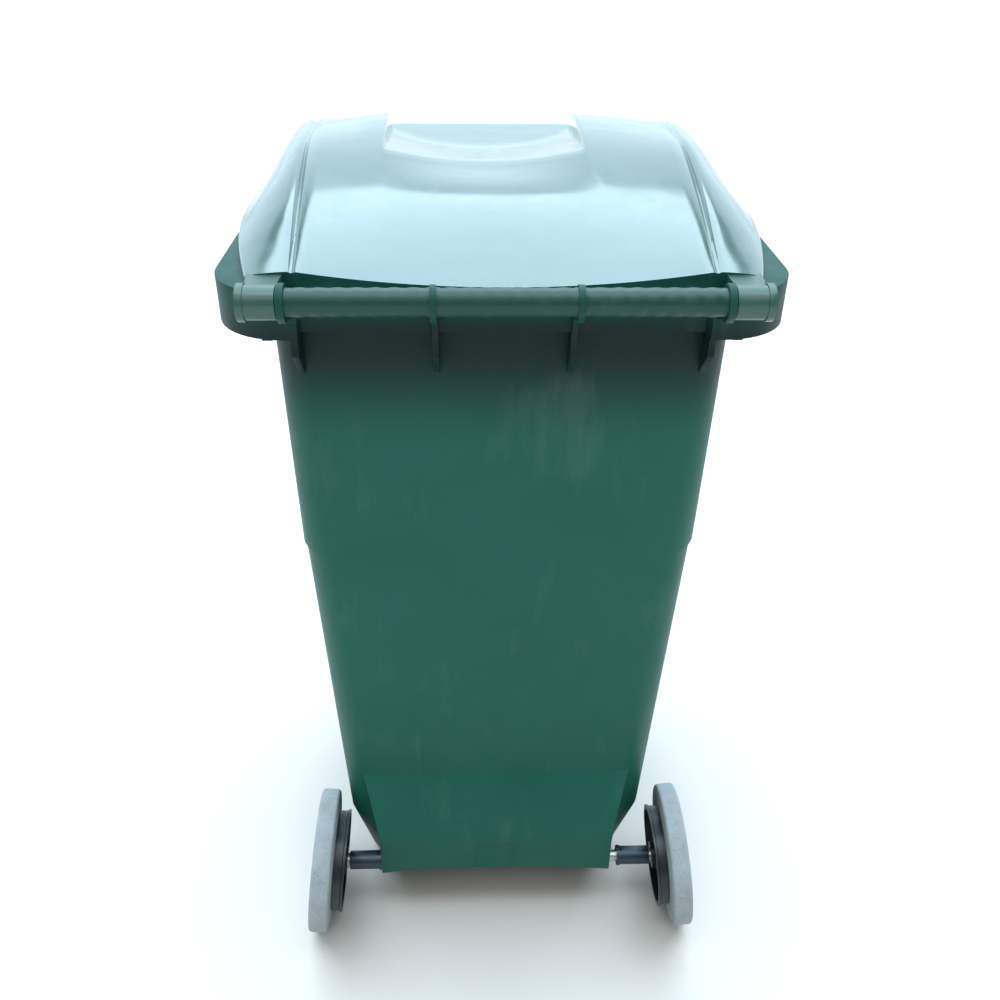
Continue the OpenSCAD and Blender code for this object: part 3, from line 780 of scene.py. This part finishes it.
def lidColumns(y):
    # x and z places across the lid, outward from the middle: the panel, a shallow valley, the side strip
    along = (y - lid["frontY"]) / (lid["rearY"] - lid["frontY"])
    crease = lid["creaseFront"] + (lid["creaseRear"] - lid["creaseFront"]) * along
    valley, deep = lid["valley"], lid["valleyDeep"] * ease((crownZ(y) - lid["stripTop"]) / 0.008)
    half = recessHalf(y)
    inner = [half * k / 18 for k in range(18)]
    steep = [half + step for step in (-0.0045, -0.0028, -0.0017, -0.0006, 0.0006, 0.0017, 0.0028, 0.0045)]
    flat = [steep[-1] + (crease - valley - steep[-1]) * k / 7 for k in range(1, 8)]
    rim = panelZ(crease - valley, y)
    # the strip's inner edge stands a little proud of the panel over the rear half
    proud = lid["proud"] * ease((y + 0.12) / 0.2) * ease((0.26 - y) / 0.1)
    dip = [(crease + valley * out, rim + proud * lift - deep * drop) for out, lift, drop in (
        (-0.55, 0, 0.55), (-0.15, 0, 1), (0.15, 0, 1), (0.6, 1, 0.4), (1, 1, 0.1),
    )]
    (start, top), low = dip[-1], lid["stripTop"]
    edge = max(lidHalf(y), start + 0.006)
    # the strip bulges more towards the front, and its outer edge is rounded
    bulge = 1.5 + 0.9 * ease((0.06 - y) / 0.26)
    strip = [(start + (edge - 0.003 - start) * share, low + (top - low) * (1 - share ** bulge))
             for share in (0.15, 0.3, 0.45, 0.6, 0.72, 0.82, 0.91)]
    strip += [(edge - inset, low - drop) for inset, drop in ((0.003, 0.0002), (0.001, 0.0011), (0, 0.0028))]
    return [(x, panelZ(x, y)) for x in inner + steep + flat] + dip + strip


def lidRows():
    # the y places along the lid: its rounded front edge, the rise to the crest, then the rear
    crest = lid["crestY"]
    front = [lid["front"] + step for step in (0, 0.0007, 0.0022, 0.005)]
    rise = [crest - (crest - lid["frontY"]) * math.cos(math.radians(5 * k)) ** 0.85 for k in range(18)]
    rear = [crest + (lid["rearEnd"] - crest) * k / 22 for k in range(23)]
    return front + rise + rear


def buildLid():
    rows, across = lidRows(), len(lidColumns(0))
    wide = 2 * across - 1
    clearSelection()
    bpy.ops.mesh.primitive_grid_add(x_subdivisions=wide - 1, y_subdivisions=len(rows) - 1, size=2)
    sheet = bpy.context.object
    openEdit(sheet)
    mesh = bmesh.from_edit_mesh(sheet.data)
    mesh.verts.ensure_lookup_table()
    for j, y in enumerate(rows):
        inner = max(y, lid["frontY"])
        columns, narrower = lidColumns(inner), lidHalf(y) / lidHalf(inner)
        for i in range(wide):
            x, z = columns[abs(i - across + 1)]
            if j < len(lid["frontDrop"]):
                x, z = x * narrower, min(z, lid["stripTop"] - lid["frontDrop"][j])
            # the recess stands a little to one side of the middle
            shift = lid["recessShift"] * (1 - ease((x - 0.130) / 0.065)) * ease((0.20 - y) / 0.2)
            late = ease((y - lid["bowFrom"]) / (lid["rearEnd"] - lid["bowFrom"]))
            bow = max(1 - (x / lid["creaseRear"]) ** 2, 0) * late
            mesh.verts[j * wide + i].co = (math.copysign(x, i - across + 1) + shift, y + lid["bow"] * bow,
                                           z - lid["rearDroop"] * bow)
    bmesh.update_edit_mesh(sheet.data)
    # the edge all round turns down
    bpy.ops.mesh.select_all(action="SELECT")
    bpy.ops.mesh.region_to_loop()
    bpy.ops.mesh.extrude_edges_move(TRANSFORM_OT_translate={"value": (0, 0, -0.002)})
    bpy.ops.transform.resize(value=(1, 1, 0), center_override=(0, 0, lid["edgeLow"]))
    turnOutward()
    closeEdit()
    # the open sheet has to face up before it gets its thickness
    if sum(face.normal.z * face.area for face in sheet.data.polygons) < 0:
        openEdit(sheet)
        bpy.ops.mesh.select_all(action="SELECT")
        bpy.ops.mesh.flip_normals()
        closeEdit()
    applyModifier(sheet, "SOLIDIFY", thickness=lid["thick"], offset=-1)
    return finishPiece(sheet, "lid", "lid", "lid_plastic", greenLid, "lid", angle=50)


knuckle = {
    "inner": 0.214, "outer": 0.243, "face": 0.250, "radius": 0.0165, "flange": 0.018,
    "bore": 0.00606, "recess": 0.0120, "recessDeep": 0.0068, "soft": 0.0011,
    "armOuter": 0.2495, "armFront": 0.292, "armZ": (1.0003, 1.0118), "armRise": 0.0030,
}


def buildKnuckles():
    inner, outer, face, side = (knuckle[k] for k in ("inner", "outer", "face", "armOuter"))
    low, high = knuckle["armZ"]
    arm = addBox("knuckle", (inner, knuckle["armFront"], low), (side, hinge.y, high))
    openEdit(arm)
    pickVerts(lambda co: co.y > hinge.y - 0.001 and co.z > high - 0.001)
    move((0, 0, knuckle["armRise"]))
    pickVerts(lambda co: co.y > hinge.y - 0.001 and co.x > side - 0.001)
    move((outer - side, 0, 0))
    closeEdit()
    cut(arm, addRod("barrel", knuckle["radius"], (inner, hinge.y, hinge.z), outer + 0.001, 64), "UNION")
    cut(arm, addRod("flange", knuckle["flange"], (outer, hinge.y, hinge.z), face, 64), "UNION")
    cut(arm, addRod("bore", knuckle["bore"], (inner - 0.01, hinge.y, hinge.z), face + 0.01, 40))
    seat = (face - knuckle["recessDeep"], hinge.y, hinge.z)
    cut(arm, addRod("recess", knuckle["recess"], seat, face + 0.01, 48))
    softenEdges(arm, knuckle["soft"], 3, angle=40)
    twin = mirrorPiece(arm, "knuckle_right")
    finishPiece(arm, "knuckle_left", "lid", "lid_plastic", greenKnuckle, "lid")
    finishPiece(twin, "knuckle_right", "lid", "lid_plastic", greenKnuckle, "lid")


tyre = {
    "radius": 0.100, "half": 0.013, "seat": 0.06995, "inside": -0.015, "outside": 0.014, "shoulder": 0.0038,
    "step": 0.084, "stepRound": 0.003, "turns": 120,
}


def buildTyre(side):
    step = tyre["step"]
    clearSelection()
    bpy.ops.mesh.primitive_plane_add(size=1, rotation=(math.pi / 2, 0, 0))
    section = bpy.context.object
    section.scale = (tyre["half"] * 2, tyre["radius"] - tyre["seat"], 1)
    section.location.z = (tyre["radius"] + tyre["seat"]) / 2
    applyPlace(section)
    openEdit(section)
    cutAcross((0, 0, step), (0, 0, 1))
    # only the outline is wanted, so the cut across the middle goes again
    pickEdges(lambda a, b: abs(a.z - step) < sameLevel and abs(b.z - step) < sameLevel)
    bpy.ops.mesh.dissolve_edges(use_verts=False)
    for end, far in ((-1, tyre["inside"]), (1, tyre["outside"])):
        pickVerts(lambda co: co.x * end > 0 and co.z < step + 0.001)
        move((far - end * tyre["half"], 0, 0))
    pickVerts(lambda co: co.z > tyre["radius"] - 0.001)
    bpy.ops.mesh.bevel(offset=tyre["shoulder"], segments=5, affect="VERTICES")
    pickVerts(lambda co: abs(co.z - step) < 0.0005)
    bpy.ops.mesh.bevel(offset=tyre["stepRound"], segments=3, affect="VERTICES")
    bpy.ops.mesh.select_all(action="SELECT")
    bpy.ops.mesh.delete(type="ONLY_FACE")
    bpy.ops.mesh.select_all(action="SELECT")
    bpy.ops.mesh.spin(steps=tyre["turns"], angle=2 * math.pi, center=(0, 0, 0), axis=(1, 0, 0))
    closeEdit()
    tidyNormals(section)
    if side < 0:
        turnOver(section)
    name = "left" if side > 0 else "right"
    spin = "wheel_" + name + "_spin"
    section.rotation_euler = (0, -side * camber, 0)
    section.location = [joint["pos_m"] for joint in frame["joints"] if joint["name"] == spin][0]
    applyPlace(section)
    return finishPiece(section, "tyreRubber_" + name, "wheel_" + name, "tyre_rubber", dustyTyre,
                       "tyre_" + name, angle=30)


buildTub()
buildFlutes()
buildStiffeners()
buildArm("middle", "middleArm")
buildArm("end", "endArm")
buildHousing()
buildFootRail()
print("tub made")
buildHandle()
buildLid()
buildKnuckles()
print("lid made")
buildTyre(1)
buildTyre(-1)

# the other CAD pieces keep their shape and take these finishes
finishes = {
    "hinge_pin": greenPin, "axle_sleeve": navySleeve, "axle": platedAxle, "hub": blackHub,
    "lock_pin": platedLock, "lock_spring": platedLock, "lock_plug": blackHub,
}
for name, node in frame["nodes"].items():
    for start in sorted(finishes, key=len, reverse=True):
        if name.startswith(start):
            node.data.materials.clear()
            node.data.materials.append(finishes[start])
            break
print("wheels made")


studio = {
    "floor": "#dbd3cb", "floorRough": 0.8, "sky": (0.84, 0.93, 1.0, 1), "skyStrength": 0.42,
    # each panel: its place, what it points at, width, height, power and colour
    "panels": {
        "lowSky": ((0, -7.0, 2.7), (0, 0, 1.0), 14, 3.6, 200, (0.66, 0.86, 1.0)),
        "overheadPanel": ((0.4, 2.2, 4.4), (0, 0.2, 0.6), 4, 3, 55, (1.0, 0.99, 0.97)),
    },
    # a very wide, soft high sky from behind the bin
    "sunFrom": (0, 0.358, -0.934), "sunPower": 6.0, "sunAngle": 82, "sunColour": (0.66, 0.85, 1.0),
}

clearSelection()
bpy.ops.mesh.primitive_plane_add(size=90, location=(0, 0, -0.0005))
floor = bpy.context.object
floor.name = "studioFloor"
floorMaterial, floorTree, floorShader = newMaterial("palePaintedFloor")
floorShader.inputs["Base Color"].default_value = linear(studio["floor"])
floorShader.inputs["Roughness"].default_value = studio["floorRough"]
floor.data.materials.append(floorMaterial)

world = bpy.data.worlds.new("softSky")
bpy.context.scene.world = world
world.use_nodes = True
world.node_tree.nodes["Background"].inputs["Color"].default_value = studio["sky"]
world.node_tree.nodes["Background"].inputs["Strength"].default_value = studio["skyStrength"]


def addLamp(light, direction, place=(0, 0, 0)):
    lamp = bpy.data.objects.new(light.name, light)
    lamp.location = place
    lamp.rotation_euler = Vector(direction).to_track_quat("-Z", "Y").to_euler()
    bpy.context.collection.objects.link(lamp)


for name, (place, target, width, height, power, colour) in studio["panels"].items():
    panel = bpy.data.lights.new(name, "AREA")
    panel.shape = "RECTANGLE"
    panel.size, panel.size_y, panel.energy, panel.color = width, height, power, colour
    addLamp(panel, Vector(target) - Vector(place), place)
highSky = bpy.data.lights.new("highSky", "SUN")
highSky.energy, highSky.color = studio["sunPower"], studio["sunColour"]
highSky.angle = math.radians(studio["sunAngle"])
addLamp(highSky, studio["sunFrom"])

viewer = {
    "place": (0.0382, 1.2281, 1.3335), "yaw": 2.1915, "pitch": -31.8984, "roll": 0.7733,
    "lens": 35.81, "sensor": 36,
}
camPlace = Vector(viewer["place"])
yaw, pitch, roll = (math.radians(viewer[turn]) for turn in ("yaw", "pitch", "roll"))
forward = Vector((-math.sin(yaw) * math.cos(pitch), -math.cos(yaw) * math.cos(pitch), math.sin(pitch)))
right = Vector((-math.cos(yaw), math.sin(yaw), 0))
up = right.cross(forward)
right, up = right * math.cos(roll) + up * math.sin(roll), -right * math.sin(roll) + up * math.cos(roll)
cameraData = bpy.data.cameras.new("viewer")
cameraData.lens = viewer["lens"]
cameraData.sensor_width = viewer["sensor"]
camera = bpy.data.objects.new("viewer", cameraData)
camera.matrix_world = Matrix((
    (right.x, up.x, -forward.x, camPlace.x),
    (right.y, up.y, -forward.y, camPlace.y),
    (right.z, up.z, -forward.z, camPlace.z),
    (0, 0, 0, 1)))
bpy.context.collection.objects.link(camera)
bpy.context.scene.camera = camera
bpy.context.scene.view_settings.view_transform = "Standard"
print("studio ready")
